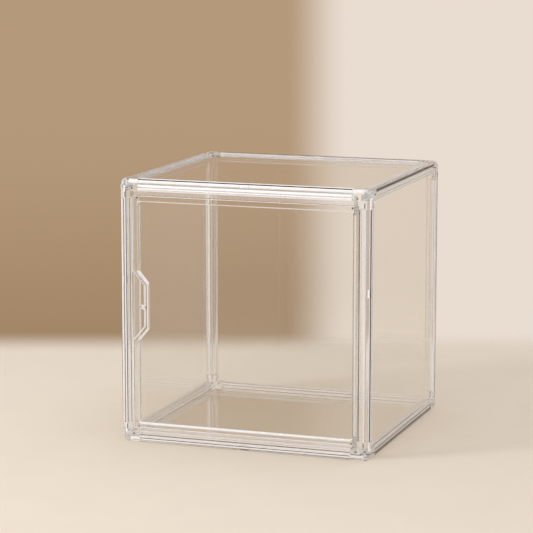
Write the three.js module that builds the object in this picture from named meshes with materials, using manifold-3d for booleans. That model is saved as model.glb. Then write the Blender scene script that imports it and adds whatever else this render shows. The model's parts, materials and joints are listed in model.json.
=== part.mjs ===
// A clear plastic storage box: corner connectors, ribbed bars, slotted-in panels and a hinged front door.
// Millimetres, +Z up. The origin is at the centre of the base, and the door is on the -Y side.

import * as THREE from 'three';
import { RoundedBoxGeometry } from 'three/addons/geometries/RoundedBoxGeometry.js';
import { mergeVertices } from 'three/addons/utils/BufferGeometryUtils.js';
import Module from 'manifold-3d';

const wasm = await Module();
wasm.setup();

// Outer size of the box
const boxWidth = 244;
const boxDepth = 232;
const boxHeight = 250;

// Bars and corner connectors
const barSize = 11;
const edgeRadius = 3.5;
const innerChamfer = 1;
const grooveLand = 0.3;
const grooveWidth = 2;
const grooveDepth = 0.7;
const jointGap = 0.1;

// Pegs of the connectors, and the bores of the bars that take them
const pegDiameter = 3.6;
const pegLength = 8;
const pegWall = 1.6;
const pegClearance = 0.2;

// Panels and their slots
const panelThickness = 2;
const panelInset = 2.2;
const panelCornerRadius = 2;
const slotDepth = 4.5;
const slotClearance = 0.15;
const panelEdgeClearance = 0.3;

// Snap tabs on the panels' edges
const snapTabWidth = 8;
const snapTabDepth = 1.2;
const snapTabClearance = 0.3;
const snapTabHeight = 155;

// Door
const doorGap = 0.8;
const doorTopGap = 4.5;
const doorBottomGap = 2.4;
const doorSetback = 1;
const doorThickness = 6;
const doorRim = 5.3;
const doorSheet = 2;
const doorCornerRadius = 2.5;
const doorStopGap = 0.6;
const stopLip = 5.5;

// Finger notch in the door's free stile
const notchCentre = 130.7;
const notchMouth = 66;
const notchFlat = 39;
const notchDepth = 11.4;
const notchRim = 4.2;
const notchCornerRadius = 3;

// Catch: a nub on the notch's rim, a little below the notch's middle, closes against a strike on the post's lip
const catchHeight = 3.5;
const catchDrop = 2;
const nubReach = 3;
const strikeOverlap = 1.6;

// Hinge pins
const pinDiameter = 3;
const pinGrip = 8;
const pinEngagement = 4.7;
const pinPressClearance = 0.05;
const pinRunClearance = 0.08;
const pinEndClearance = 0.3;
const socketWall = 1.6;

// Facets
const edgeSegments = 5;
const cornerSegments = 3;
const roundSides = 16;
const filletSegments = 3;

// Worked-out sizes that the pieces share
const slotFloor = barSize - slotDepth;
const slotNear = panelInset - slotClearance;
const slotFar = panelInset + panelThickness + slotClearance;
const pegInset = barSize - pegWall - pegDiameter / 2;
const lipFront = doorSetback + doorThickness + doorStopGap;
const lipEdge = barSize + stopLip;
const doorEdge = barSize + doorGap;
const doorTop = boxHeight - barSize - doorTopGap;
const doorBottom = barSize + doorBottomGap;
const hingeInset = doorEdge + doorThickness / 2;
const hingeSetback = doorSetback + doorThickness / 2;
const socketRadius = (pinDiameter / 2 + pinRunClearance) / Math.cos(Math.PI / roundSides);
const socketDepth = pinEngagement + pinEndClearance;
const cornerReach = hingeInset + socketRadius + socketWall;
const notchFloor = doorEdge + notchDepth;
const catchCentre = notchCentre - catchDrop;
const nubEnd = notchFloor - nubReach;
const strikeEnd = nubEnd + strikeOverlap;
const weld = 1;

const X = new THREE.Vector3(1, 0, 0);
const Y = new THREE.Vector3(0, 1, 0);
const Z = new THREE.Vector3(0, 0, 1);

// Each piece is clear polystyrene. The sheets are the clearest, and the pins a little greyer.
function clearPlastic(color, opacity) {
  return new THREE.MeshStandardMaterial({ color, opacity, transparent: true, roughness: 0.06, metalness: 0 });
}

const finishes = {
  moulding: () => clearPlastic(0xf1efec, 0.4),
  sheet: () => clearPlastic(0xf6f3ee, 0.16),
  pin: () => clearPlastic(0xdfe2e4, 0.6),
};

// A geometry with shared corners and nothing but positions
function shell(geometry) {
  const bare = geometry.clone();
  bare.deleteAttribute('normal');
  bare.deleteAttribute('uv');
  return mergeVertices(bare);
}

function solidOf(geometry) {
  const closed = shell(geometry);
  const mesh = new wasm.Mesh({
    numProp: 3,
    vertProperties: closed.attributes.position.array,
    triVerts: new Uint32Array(closed.index.array),
  });
  return new wasm.Manifold(mesh);
}

function geometryOf(solid) {
  const mesh = solid.getMesh();
  const geometry = new THREE.BufferGeometry();
  geometry.setAttribute('position', new THREE.BufferAttribute(mesh.vertProperties, 3));
  geometry.setIndex(new THREE.BufferAttribute(mesh.triVerts, 1));
  return geometry;
}

// Turns a shape made along three inward axes into the box's frame, and keeps its faces pointing out
function faced(geometry, u, v, w) {
  const turned = shell(geometry);
  const basis = new THREE.Matrix4().makeBasis(u, v, w);
  turned.applyMatrix4(basis);
  if (basis.determinant() < 0) {
    const corners = turned.index.array;
    for (let i = 0; i < corners.length; i += 3) {
      [corners[i], corners[i + 1]] = [corners[i + 1], corners[i]];
    }
  }
  turned.computeVertexNormals();
  return turned;
}

function named(name, geometry, material, position) {
  const mesh = new THREE.Mesh(geometry, material);
  mesh.name = name;
  mesh.position.copy(position);
  return mesh;
}

// A rectangular block between two corners
function block(low, high) {
  const size = high.map((value, axis) => value - low[axis]);
  const middle = high.map((value, axis) => (value + low[axis]) / 2);
  return solidOf(new THREE.BoxGeometry(...size).translate(...middle));
}

// A round rod along one axis, from a start point
function rod(radius, length, start, axis) {
  const cylinder = new THREE.CylinderGeometry(radius, radius, length, roundSides);
  cylinder.translate(0, length / 2, 0);
  cylinder.applyQuaternion(new THREE.Quaternion().setFromUnitVectors(Y, axis));
  return solidOf(cylinder.translate(...start));
}

function arc(centre, radius, from, to, segments) {
  const points = [];
  for (let step = 0; step <= segments; step += 1) {
    const angle = from + ((to - from) * step) / segments;
    points.push([centre[0] + radius * Math.cos(angle), centre[1] + radius * Math.sin(angle)]);
  }
  return points;
}

function outline(points) {
  return new THREE.Shape(points.map(([a, b]) => new THREE.Vector2(a, b)));
}

// An outline whose corners are rounded by a short curve; each point carries its own radius
function softOutline(points) {
  const rounded = [];
  points.forEach(([a, b, radius], index) => {
    const corner = new THREE.Vector2(a, b);
    const [pa, pb] = points[(index + points.length - 1) % points.length];
    const [na, nb] = points[(index + 1) % points.length];
    const before = new THREE.Vector2(pa, pb).sub(corner).setLength(radius).add(corner);
    const after = new THREE.Vector2(na, nb).sub(corner).setLength(radius).add(corner);
    const curve = new THREE.QuadraticBezierCurve(before, corner, after);
    rounded.push(...curve.getPoints(filletSegments));
  });
  return new THREE.Shape(rounded);
}

function extruded(shape, depth) {
  return new THREE.ExtrudeGeometry(shape, { depth, bevelEnabled: false });
}

// Section of a bar, with its outer corner at (0, 0) and both axes running inwards.
// A front bar has the door's lip on its first inner face; any other bar has a second panel slot there.
function barSection(isFront) {
  const grooveStart = edgeRadius + grooveLand;
  const groove = [
    [grooveStart, 0],
    [grooveStart + grooveWidth / 4, grooveDepth],
    [grooveStart + (grooveWidth * 3) / 4, grooveDepth],
    [grooveStart + grooveWidth, 0],
  ];
  const slot = [
    [barSize, slotNear],
    [slotFloor, slotNear],
    [slotFloor, slotFar],
    [barSize, slotFar],
  ];
  const lip = [
    [barSize, lipFront],
    [lipEdge, lipFront],
    [lipEdge, barSize],
  ];
  const across = (points) => points.map(([a, b]) => [b, a]).reverse();
  const section = outline([
    ...groove,
    [barSize - innerChamfer, 0],
    [barSize, innerChamfer],
    ...(isFront ? lip : [...slot, [barSize, barSize]]),
    ...across(slot),
    [innerChamfer, barSize],
    [0, barSize - innerChamfer],
    ...across(groove),
    ...arc([edgeRadius, edgeRadius], edgeRadius, Math.PI, Math.PI * 1.5, edgeSegments),
  ]);
  const boreRadius = (pegDiameter / 2 + pegClearance) / Math.cos(Math.PI / roundSides);
  const bore = arc([pegInset, pegInset], boreRadius, 0, Math.PI * 2, roundSides).slice(1);
  section.holes.push(new THREE.Path(bore.map(([a, b]) => new THREE.Vector2(a, b))));
  return section;
}

// A bar between two connectors, with pockets for the snap tabs of its panels.
// Positions along the bar are measured from the box's face.
function barSolid(isFront, length, tabs) {
  const start = cornerReach + jointGap;
  let bar = solidOf(extruded(barSection(isFront), length - 2 * start).translate(0, 0, start));
  const halfTab = snapTabWidth / 2 + snapTabClearance;
  const pocketFloor = slotFloor - snapTabDepth;
  for (const { along, first } of tabs) {
    const low = [slotNear, pocketFloor, along - halfTab];
    const high = [slotFar, slotFloor + weld, along + halfTab];
    const swap = ([a, b, c]) => [b, a, c];
    bar = bar.subtract(first ? block(swap(low), swap(high)) : block(low, high));
  }
  return bar;
}

// The strike on the front left post, behind the door's catch nub
function withStrike(post) {
  const low = [lipEdge - weld, lipFront, catchCentre - catchHeight / 2];
  const high = [strikeEnd, barSize, catchCentre + catchHeight / 2];
  return post.add(block(low, high));
}

// A three-way connector in the octant of its outer vertex
function cornerSolid(isFront, hasHinge) {
  const legs = [
    block([0, 0, 0], [cornerReach, barSize, barSize]),
    block([0, 0, 0], [barSize, cornerReach, barSize]),
    block([0, 0, 0], [barSize, barSize, cornerReach]),
  ];
  const side = 2 * (cornerReach + edgeRadius);
  const rounded = new RoundedBoxGeometry(side, side, side, cornerSegments, edgeRadius);
  let corner = legs[0].add(legs[1]).add(legs[2]);
  corner = corner.intersect(solidOf(rounded.translate(side / 2, side / 2, side / 2)));

  const reach = pegLength + weld;
  const root = cornerReach - weld;
  corner = corner.add(rod(pegDiameter / 2, reach, [root, pegInset, pegInset], X));
  corner = corner.add(rod(pegDiameter / 2, reach, [pegInset, root, pegInset], Y));
  corner = corner.add(rod(pegDiameter / 2, reach, [pegInset, pegInset, root], Z));

  if (isFront) {
    const inner = barSize - weld;
    corner = corner.add(block([inner, lipFront, inner], [cornerReach, barSize, lipEdge]));
    corner = corner.add(block([inner, lipFront, inner], [lipEdge, barSize, cornerReach]));
  }

  const far = cornerReach + weld;
  corner = corner.subtract(block([slotNear, slotFloor, slotFloor], [slotFar, far, far]));
  corner = corner.subtract(block([slotFloor, slotFloor, slotNear], [far, far, slotFar]));
  if (!isFront) {
    corner = corner.subtract(block([slotFloor, slotNear, slotFloor], [far, slotFar, far]));
  }
  if (hasHinge) {
    const mouth = [hingeInset, hingeSetback, barSize - socketDepth];
    corner = corner.subtract(rod(socketRadius, socketDepth + weld, mouth, Z));
  }
  return corner;
}

// A sheet whose two opposite edges carry a snap tab each, at a place along the other direction.
// Both spans are the box's; the sheet reaches into the slots on every side.
function panelGeometry(span, rise, tabAt) {
  const edge = slotFloor + panelEdgeClearance;
  const tip = edge - snapTabDepth;
  const low = tabAt - snapTabWidth / 2;
  const high = tabAt + snapTabWidth / 2;
  const shape = softOutline([
    [edge, edge, panelCornerRadius],
    [span - edge, edge, panelCornerRadius],
    [span - edge, low, 0],
    [span - tip, low, 0],
    [span - tip, high, 0],
    [span - edge, high, 0],
    [span - edge, rise - edge, panelCornerRadius],
    [edge, rise - edge, panelCornerRadius],
    [edge, high, 0],
    [tip, high, 0],
    [tip, low, 0],
    [edge, low, 0],
  ]);
  return extruded(shape, panelThickness).translate(0, 0, panelInset);
}

// The door, in the octant of the box's front left bottom vertex, with depth along the second axis
function doorGeometry() {
  const hinge = boxWidth - hingeInset;
  const halfMouth = notchMouth / 2;
  const halfFlat = notchFlat / 2;
  const slope = (halfMouth - halfFlat) / notchDepth;
  const face = softOutline([
    [doorEdge, doorBottom, doorCornerRadius],
    [hinge, doorBottom, 0],
    [hinge, doorTop, 0],
    [doorEdge, doorTop, doorCornerRadius],
    [doorEdge, notchCentre + halfMouth, notchCornerRadius],
    [notchFloor, notchCentre + halfFlat, notchCornerRadius],
    [notchFloor, notchCentre - halfFlat, notchCornerRadius],
    [doorEdge, notchCentre - halfMouth, notchCornerRadius],
  ]);

  // The sheet's outline keeps the rim's width along the sides, and the notch's own rim around the notch
  const inner = doorEdge + doorRim;
  const innerRight = boxWidth - inner;
  const bend = notchFloor + notchRim;
  const lift = halfMouth + notchRim * Math.hypot(1, slope);
  const bendLift = lift - slope * (bend - doorEdge);
  const stileLift = lift - slope * doorRim;
  const window = softOutline([
    [inner, doorBottom + doorRim, doorCornerRadius],
    [innerRight, doorBottom + doorRim, doorCornerRadius],
    [innerRight, doorTop - doorRim, doorCornerRadius],
    [inner, doorTop - doorRim, doorCornerRadius],
    [inner, notchCentre + stileLift, notchCornerRadius],
    [bend, notchCentre + bendLift, notchCornerRadius],
    [bend, notchCentre - bendLift, notchCornerRadius],
    [inner, notchCentre - stileLift, notchCornerRadius],
  ]);

  // Extrusions run backwards through the door: their depth axis is the box's own depth
  const slab = (shape, from, to) => solidOf(faced(extruded(shape, to - from).translate(0, 0, from), X, Z, Y));
  const back = doorSetback + doorThickness;
  const recess = (doorThickness - doorSheet) / 2;
  let door = slab(face, doorSetback, back);
  door = door.add(rod(doorThickness / 2, doorTop - doorBottom, [hinge, hingeSetback, doorBottom], Z));
  door = door.subtract(slab(window, doorSetback - weld, doorSetback + recess));
  door = door.subtract(slab(window, back - recess, back + weld));

  const nubLow = [nubEnd, doorSetback + recess, catchCentre - catchHeight / 2];
  const nubHigh = [notchFloor + weld, back, catchCentre + catchHeight / 2];
  door = door.add(block(nubLow, nubHigh));

  const pinHole = (pinDiameter / 2 + pinPressClearance) / Math.cos(Math.PI / roundSides);
  const holeDepth = pinGrip + pinEndClearance + weld;
  door = door.subtract(rod(pinHole, holeDepth, [hinge, hingeSetback, doorBottom - weld], Z));
  door = door.subtract(rod(pinHole, holeDepth, [hinge, hingeSetback, doorTop + weld - holeDepth], Z));
  return geometryOf(door);
}

const box = new THREE.Group();
const sides = { left: -1, right: 1 };
const ends = { front: -1, back: 1 };
const levels = { bottom: 0, top: 1 };

// The outer vertex at a corner of the box, and the inward direction of each axis there
function vertex(side, end, level) {
  return {
    at: new THREE.Vector3((sides[side] * boxWidth) / 2, (ends[end] * boxDepth) / 2, levels[level] * boxHeight),
    x: X.clone().multiplyScalar(-sides[side]),
    y: Y.clone().multiplyScalar(-ends[end]),
    z: Z.clone().multiplyScalar(1 - 2 * levels[level]),
  };
}

for (const end of Object.keys(ends)) {
  for (const level of Object.keys(levels)) {
    for (const side of Object.keys(sides)) {
      const { at, x, y, z } = vertex(side, end, level);
      const isFront = end === 'front';
      const solid = cornerSolid(isFront, isFront && side === 'right');
      const geometry = faced(geometryOf(solid), x, y, z);
      box.add(named(`corner_${end}_${level}_${side}`, geometry, finishes.moulding(), at));
    }
  }
}

// Posts stand between the corners of each side
for (const end of Object.keys(ends)) {
  for (const side of Object.keys(sides)) {
    const { at, x, y, z } = vertex(side, end, 'bottom');
    const isFront = end === 'front';
    const tabs = [{ along: snapTabHeight, first: false }];
    if (!isFront) {
      tabs.push({ along: snapTabHeight, first: true });
    }
    let solid = barSolid(isFront, boxHeight, tabs);
    if (isFront && side === 'left') {
      solid = withStrike(solid);
    }
    box.add(named(`post_${end}_${side}`, faced(geometryOf(solid), x, y, z), finishes.moulding(), at));
  }
}

// Rails run along the width at the front and back, and along the depth at the sides
for (const level of Object.keys(levels)) {
  for (const end of Object.keys(ends)) {
    const { at, x, y, z } = vertex('left', end, level);
    const solid = barSolid(end === 'front', boxWidth, [{ along: boxWidth / 2, first: false }]);
    box.add(named(`rail_${level}_${end}`, faced(geometryOf(solid), z, y, x), finishes.moulding(), at));
  }
  for (const side of Object.keys(sides)) {
    const { at, x, y, z } = vertex(side, 'front', level);
    const solid = barSolid(false, boxDepth, []);
    box.add(named(`rail_${level}_${side}`, faced(geometryOf(solid), x, z, y), finishes.moulding(), at));
  }
}

// Panels lie in the slots of the bars around them
for (const side of Object.keys(sides)) {
  const { at, x, y, z } = vertex(side, 'front', 'bottom');
  const sheet = panelGeometry(boxDepth, boxHeight, snapTabHeight);
  box.add(named(`panel_${side}`, faced(sheet, y, z, x), finishes.sheet(), at));
}
for (const level of Object.keys(levels)) {
  const { at, x, y, z } = vertex('left', 'front', level);
  const sheet = panelGeometry(boxDepth, boxWidth, boxWidth / 2);
  box.add(named(`panel_${level}`, faced(sheet, y, x, z), finishes.sheet(), at));
}
const backVertex = vertex('left', 'back', 'bottom');
const backSheet = faced(
  panelGeometry(boxWidth, boxHeight, snapTabHeight),
  backVertex.x,
  backVertex.z,
  backVertex.y,
);
box.add(named('panel_back', backSheet, finishes.sheet(), backVertex.at));

// The door and its pins share a group at the hinge's foot, so that the group's turn about Z opens the door
const doorway = vertex('left', 'front', 'bottom');
const hinge = new THREE.Group();
hinge.position.set(boxWidth / 2 - hingeInset, hingeSetback - boxDepth / 2, 0);
const doorPlace = doorway.at.clone().sub(hinge.position);
hinge.add(named('door', faced(doorGeometry(), X, Y, Z), finishes.sheet(), doorPlace));

function pinGeometry(gap) {
  const length = pinGrip + gap + pinEngagement;
  return faced(geometryOf(rod(pinDiameter / 2, length, [0, 0, 0], Z)), X, Y, Z);
}
const bottomPinPlace = new THREE.Vector3(0, 0, barSize - pinEngagement);
const topPinPlace = new THREE.Vector3(0, 0, doorTop - pinGrip);
hinge.add(named('hinge_pin_bottom', pinGeometry(doorBottomGap), finishes.pin(), bottomPinPlace));
hinge.add(named('hinge_pin_top', pinGeometry(doorTopGap), finishes.pin(), topPinPlace));
box.add(hinge);

export default box;
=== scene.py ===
"""A clear plastic storage box with a hinged front door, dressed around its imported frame.

Every piece of the frame is rebuilt as a filleted, smooth moulding: the ribbed bars are swept by Geometry
Nodes, and the three-way connectors, sheets, door and pins are cut and rounded in mesh code.
"""

import json
import logging
import math
from dataclasses import dataclass, replace
from enum import Enum
from functools import partial
from typing import Any, Callable, Iterable, Sequence

import bmesh
import bpy
from mathutils import Matrix, Vector


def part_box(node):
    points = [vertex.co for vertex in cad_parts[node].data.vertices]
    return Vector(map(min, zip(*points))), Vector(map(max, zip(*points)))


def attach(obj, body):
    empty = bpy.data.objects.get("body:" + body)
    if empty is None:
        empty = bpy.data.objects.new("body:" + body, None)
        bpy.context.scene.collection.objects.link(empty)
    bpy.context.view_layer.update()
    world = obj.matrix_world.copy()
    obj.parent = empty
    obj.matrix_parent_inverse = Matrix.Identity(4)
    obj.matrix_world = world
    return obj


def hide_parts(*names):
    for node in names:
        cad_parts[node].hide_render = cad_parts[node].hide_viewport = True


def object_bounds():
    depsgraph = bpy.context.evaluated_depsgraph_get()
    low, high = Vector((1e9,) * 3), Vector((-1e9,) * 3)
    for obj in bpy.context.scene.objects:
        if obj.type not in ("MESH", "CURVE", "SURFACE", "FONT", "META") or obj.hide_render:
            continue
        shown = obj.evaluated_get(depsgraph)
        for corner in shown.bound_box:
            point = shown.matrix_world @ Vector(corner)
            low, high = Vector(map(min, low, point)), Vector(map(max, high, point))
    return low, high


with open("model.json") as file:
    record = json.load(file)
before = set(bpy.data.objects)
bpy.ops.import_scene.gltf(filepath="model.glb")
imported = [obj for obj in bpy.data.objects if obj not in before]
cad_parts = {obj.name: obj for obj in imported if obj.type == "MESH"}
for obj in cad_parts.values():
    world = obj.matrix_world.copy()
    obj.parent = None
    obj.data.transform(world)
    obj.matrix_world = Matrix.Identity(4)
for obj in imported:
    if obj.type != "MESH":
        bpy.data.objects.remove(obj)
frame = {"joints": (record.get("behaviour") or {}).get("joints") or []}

CAD_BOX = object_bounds()
LOG = logging.getLogger("storage_box")
MM = 0.001
Point = Sequence[float]
Outline = list[tuple[float, float]]

# Clearances between the pieces.
JOINT_GAP = 0.1 * MM
SLOT_CLEARANCE = 0.15 * MM
PEG_CLEARANCE = 0.2 * MM
TAB_CLEARANCE = 0.3 * MM
STOP_GAP = 0.6 * MM
PIN_HOLE_CLEARANCE = 0.06 * MM
PIN_SOCKET_CLEARANCE = 0.1 * MM
PIN_END_GAP = 0.3 * MM

# The bars' section: its outer corner, grooves, ribs, slots and fillets.
EDGE_RADIUS = 3.5 * MM
GROOVE_LAND = 0.3 * MM
GROOVE_WIDTH = 2.0 * MM
GROOVE_DEPTH = 0.7 * MM
RIB_START = 7.2 * MM
RIB_WIDTH = 1.7 * MM
RIB_DEPTH = 0.35 * MM
INNER_CHAMFER = 1.0 * MM
SLOT_DEPTH = 4.5 * MM
FILLET = 0.3 * MM
MOUTH_FILLET = 0.7 * MM

# What joins the pieces: pegs in bores, snap tabs in pockets, and the door's catch.
PEG_RADIUS = 1.8 * MM
PEG_INSET = 7.6 * MM
TAB_WIDTH = 8.0 * MM
TAB_HEIGHT = 155.0 * MM
NOTCH_CENTRE = 130.7 * MM
CATCH_CENTRE = 128.7 * MM
CATCH_HEIGHT = 3.5 * MM

# The connectors' round outer vertex, and the small marks that the mould leaves.
BALL_INSET = 12.0 * MM
BALL_RADIUS = 16.5 * MM
MARK_DEPTH = 0.6 * MM
DOT_RADIUS = 0.9 * MM
DOT_AT = (8.2 * MM, 12.6 * MM)
DASH_AT = (14.5 * MM, 5.6 * MM)
DASH_SIZE = (4.6 * MM, 1.0 * MM)

# How far a tool reaches into or past the solid that it is joined to or cut from.
WELD = 1.0 * MM
SAME_POINT = 1e-6

# Facets of round forms.
DOT_SIDES = 20
PEG_SIDES = 32
SOCKET_SIDES = 40
STILE_SIDES = 48
TIP_STEPS = 4
BAR_ARC_STEPS = 5
DOOR_ARC_STEPS = 6
VERTEX_STEPS = 8

# A face is flat where its normal has a part larger than FLAT, and it looks along an axis where that axis's
# part is larger than MOSTLY. It slants towards an axis where the part is larger than SLANTED.
FLAT = 0.98
MOSTLY = 0.5
SLANTED = 0.3

# How the bars look: the rail above the door is the whitest, with a painted highlight, and the pale ones take
# a fainter veil as painted shade and show no painted dark lines.
PAINTED_HIGHLIGHT_BAR = "rail_top_front"
SHADED_BARS = ("post_back_left", "post_back_right", "rail_top_left")

# Settings and sockets of nodes; a ray's count of bounces is past ANY_BOUNCE from the first one on.
ANY_BOUNCE = 0.5
SMOOTH_STEP = {"interpolation_type": "SMOOTHSTEP"}
COLOUR_MIX = {"data_type": "RGBA"}
COLOUR_A, COLOUR_B, MIXED_COLOUR = 6, 7, 2


class Joining(Enum):
    """How one solid meets another."""

    ADD = "UNION"
    CUT = "DIFFERENCE"
    KEEP_COMMON = "INTERSECT"


class Side(Enum):
    """The box's sides, seen from the door."""

    LEFT = "left"
    RIGHT = "right"


class End(Enum):
    """The box's ends."""

    FRONT = "front"
    BACK = "back"


class Level(Enum):
    """The box's levels."""

    BOTTOM = "bottom"
    TOP = "top"


class Face(Enum):
    """What a face of a piece looks like; the value is its material's place on the piece."""

    CLEAR = 0
    JOINT = 1
    # Sawn sheet edges with their real frosting, and slants, fillets and bores with a painted highlight.
    EDGE = 2
    # Painted shade: thin dark lines and dots.
    PAINTED_SHADE = 3
    # A fainter veil: thin plastic on the lip, painted shade on the pale bars.
    WATER_CLEAR = 4


Step = tuple[Joining, bpy.types.Object]


def linear(hex_colour: str) -> tuple[float, float, float, float]:
    """Turns an sRGB hex colour into linear light.

    Args:
        hex_colour: a colour such as "#e1d3c4".

    Returns:
        Red, green, blue and an alpha of 1.
    """
    channels = [int(hex_colour[i:i + 2], 16) / 255 for i in (1, 3, 5)]
    values = [c / 12.92 if c <= 0.04045 else ((c + 0.055) / 1.055) ** 2.4 for c in channels]
    return (*values, 1.0)


def is_flat(normal: Vector) -> bool:
    """Tells whether a face lies square to one of the axes."""
    return max(abs(part) for part in normal) > FLAT


def add_node(tree: bpy.types.NodeTree, kind: str, settings: dict[str, Any] | None = None,
             inputs: dict[str | int, Any] | None = None) -> bpy.types.Node:
    """Adds one node, with its settings, its input values and its links.

    Args:
        tree: the node tree.
        kind: the node's type name.
        settings: attributes of the node.
        inputs: input sockets by name or number; a socket as value makes a link.

    Returns:
        The new node.
    """
    node = tree.nodes.new(kind)
    for name, value in (settings or {}).items():
        setattr(node, name, value)
    for key, value in (inputs or {}).items():
        if isinstance(value, bpy.types.NodeSocket):
            tree.links.new(value, node.inputs[key])
        else:
            node.inputs[key].default_value = value
    return node


def empty_material(name: str) -> bpy.types.Material:
    """Starts a node material with an empty tree.

    Args:
        name: the material's name.

    Returns:
        The new material.
    """
    made = bpy.data.materials.new(name)
    made.use_nodes = True
    made.node_tree.nodes.clear()
    return made


def add_object(name: str, data: bpy.types.ID) -> bpy.types.Object:
    """Links a mesh, a lamp or a camera into the scene.

    Args:
        name: the object's name.
        data: what the object shows.

    Returns:
        The new object, at the origin.
    """
    made = bpy.data.objects.new(name, data)
    bpy.context.scene.collection.objects.link(made)
    return made


@dataclass(frozen=True)
class ClearPlastic:
    """Moulded clear polystyrene: water-clear and glossy, with a faint waviness from the mould's flow.

    The eye sees bright and dark lines where edges bend the room's light, and a weak veil on flat faces.
    """

    name: str
    tint: str
    ior: float
    smooth: float
    hazy: float
    wave_mm: float
    wave_depth_mm: float
    smudge_mm: float
    shade: str
    milk: float
    smudge_detail: float = 3.0
    smudge_roughness: float = 0.55
    smudge_range: tuple[float, float] = (0.35, 0.75)
    wave_detail: float = 1.0
    wave_roughness: float = 0.4

    def material(self) -> bpy.types.Material:
        """Builds the material.

        Returns:
            A node material with waviness, smudges and light that passes on to what lies behind.
        """
        made = empty_material(self.name)
        tree = made.node_tree
        place = add_node(tree, "ShaderNodeTexCoord").outputs["Object"]
        smudge = add_node(tree, "ShaderNodeTexNoise", {"noise_dimensions": "3D"}, {
            "Vector": place, "Scale": 1 / (self.smudge_mm * MM), "Detail": self.smudge_detail,
            "Roughness": self.smudge_roughness})
        haze = add_node(tree, "ShaderNodeMapRange", SMOOTH_STEP, {
            "Value": smudge.outputs["Fac"], "From Min": self.smudge_range[0],
            "From Max": self.smudge_range[1], "To Min": self.smooth, "To Max": self.hazy})
        wave = add_node(tree, "ShaderNodeTexNoise", {"noise_dimensions": "3D"}, {
            "Vector": place, "Scale": 1 / (self.wave_mm * MM), "Detail": self.wave_detail,
            "Roughness": self.wave_roughness})
        bump = add_node(tree, "ShaderNodeBump", None, {
            "Height": wave.outputs["Fac"], "Strength": 1.0, "Distance": self.wave_depth_mm * MM})
        body = add_node(tree, "ShaderNodeBsdfPrincipled", None, {
            "Base Color": linear(self.tint), "IOR": self.ior, "Transmission Weight": 1 - self.milk,
            "Roughness": haze.outputs["Result"], "Normal": bump.outputs["Normal"]})
        passing = add_node(tree, "ShaderNodeBsdfTransparent", None, {"Color": linear(self.shade)})
        path = add_node(tree, "ShaderNodeLightPath").outputs
        lights = add_node(tree, "ShaderNodeMath", {"operation": "MAXIMUM"}, {
            0: path["Is Shadow Ray"], 1: path["Is Diffuse Ray"]})
        surface = add_node(tree, "ShaderNodeMixShader", None, {
            0: lights.outputs["Value"], 1: body.outputs["BSDF"], 2: passing.outputs["BSDF"]})
        add_node(tree, "ShaderNodeOutputMaterial", None, {"Surface": surface.outputs["Shader"]})
        return made


@dataclass(frozen=True)
class PressedJoint:
    """Plastic pressed against plastic: light runs straight on, so the eye sees one clear body."""

    name: str = "clear_polystyrene_pressed_joint"
    tint: str = "#ffffff"

    def material(self) -> bpy.types.Material:
        """Builds the material of faces that touch inside a joint.

        Returns:
            A material that lets light through unbent.
        """
        made = empty_material(self.name)
        tree = made.node_tree
        passing = add_node(tree, "ShaderNodeBsdfTransparent", None, {"Color": linear(self.tint)})
        add_node(tree, "ShaderNodeOutputMaterial", None, {"Surface": passing.outputs["BSDF"]})
        return made


# Polystyrene from a polished mould: clear and glossy, with a weak white veil.
MOULDING = ClearPlastic(
    name="clear_polystyrene_moulded", tint="#fdfdfd", ior=1.59, smooth=0.002, hazy=0.012,
    wave_mm=30, wave_depth_mm=0.0015, smudge_mm=22, shade="#f2f0ee", milk=0.14)

# The same plastic in the rail above the door: the veil is whiter, a painted highlight for the light that
# falls on it from above.
PAINTED_HIGHLIGHT_RAIL = replace(MOULDING, name="clear_polystyrene_moulded_rail_painted_highlight", milk=0.25)

# The same plastic in the pale bars and in the lip behind the door: the eye sees hardly any veil; on the lip
# this is the thin plastic, on the pale bars it is painted shade.
WATER_CLEAR = replace(MOULDING, name="clear_polystyrene_moulded_faint_veil_thin_and_shaded", milk=0.02)

# Small thick mouldings: short flow waves break the light into sparkles.
CONNECTOR = replace(MOULDING, name="clear_polystyrene_moulded_connector", wave_mm=4, wave_depth_mm=0.06)

# Rolled sheet: almost unseen, with long slow waves in what it mirrors.
SHEET = ClearPlastic(
    name="clear_polystyrene_sheet", tint="#fdfdfc", ior=1.52, smooth=0.0, hazy=0.012,
    wave_mm=90, wave_depth_mm=0.004, smudge_mm=45, shade="#f1efec", milk=0.01)

# Slanted, sawn and scuffed faces: they scatter the light and show as thin white lines; on the sawn sheet
# edges the frosting is real, on the slants, fillets and bores it is a painted highlight.
EDGE = ClearPlastic(
    name="clear_polystyrene_scuffed_edge_and_painted_highlight", tint="#fcfcff", ior=1.59, smooth=0.12, hazy=0.3,
    wave_mm=12, wave_depth_mm=0.004, smudge_mm=4, shade="#f2f0ee", milk=0.8)

# Steep faces and the sunk marks: a dark tint that shows as thin dark lines and dots, painted shade for the
# dark surroundings that the edges bend into view and for the shade inside the marks.
PAINTED_SHADE = ClearPlastic(
    name="clear_polystyrene_painted_shade", tint="#5c504a", ior=1.12, smooth=0.02, hazy=0.06,
    wave_mm=12, wave_depth_mm=0.002, smudge_mm=6, shade="#e8e4e0", milk=0.02)

# Turned polycarbonate: clear, slightly grey, with a fine turned haze.
PIN = ClearPlastic(
    name="clear_polycarbonate_turned", tint="#eceff0", ior=1.585, smooth=0.05, hazy=0.12,
    wave_mm=6, wave_depth_mm=0.02, smudge_mm=5, shade="#dcdcda", milk=0.06)


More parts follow.
